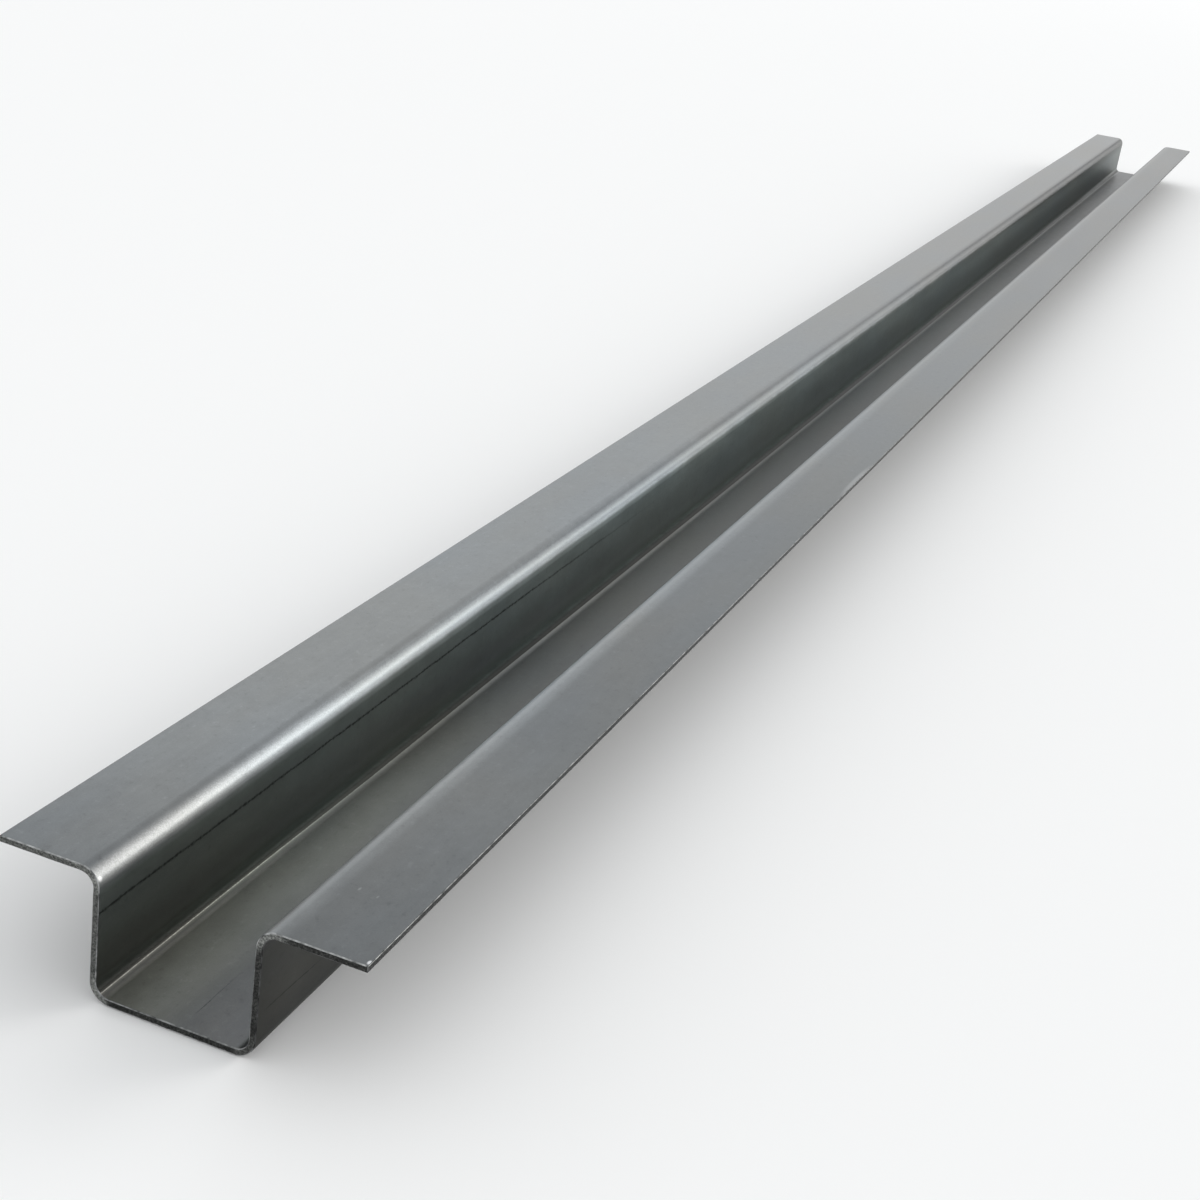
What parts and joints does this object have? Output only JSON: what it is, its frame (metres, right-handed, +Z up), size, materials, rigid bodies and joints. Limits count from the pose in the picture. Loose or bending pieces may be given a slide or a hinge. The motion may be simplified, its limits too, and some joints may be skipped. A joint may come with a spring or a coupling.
{
  "type": "hat channel",
  "caption": "Long cold-formed steel hat channel: a flat base between upright webs whose tops bend outward into flat flanges, open along the top and cut square at the ends.",
  "frame": {"origin": "under the middle of the base, half way along the bar", "axes": "+Y along the bar, +X across it towards the right flange, +Z up, from the base towards the flanges"},
  "size_m": [0.108, 2, 0.0395],
  "materials": {
    "mill_steel": "bare satin mill finish, dark grey, with a few lengthwise forming marks"
  },
  "bodies": {
    "root": {"hat_channel": "mill_steel"}
  },
  "joints": []
}
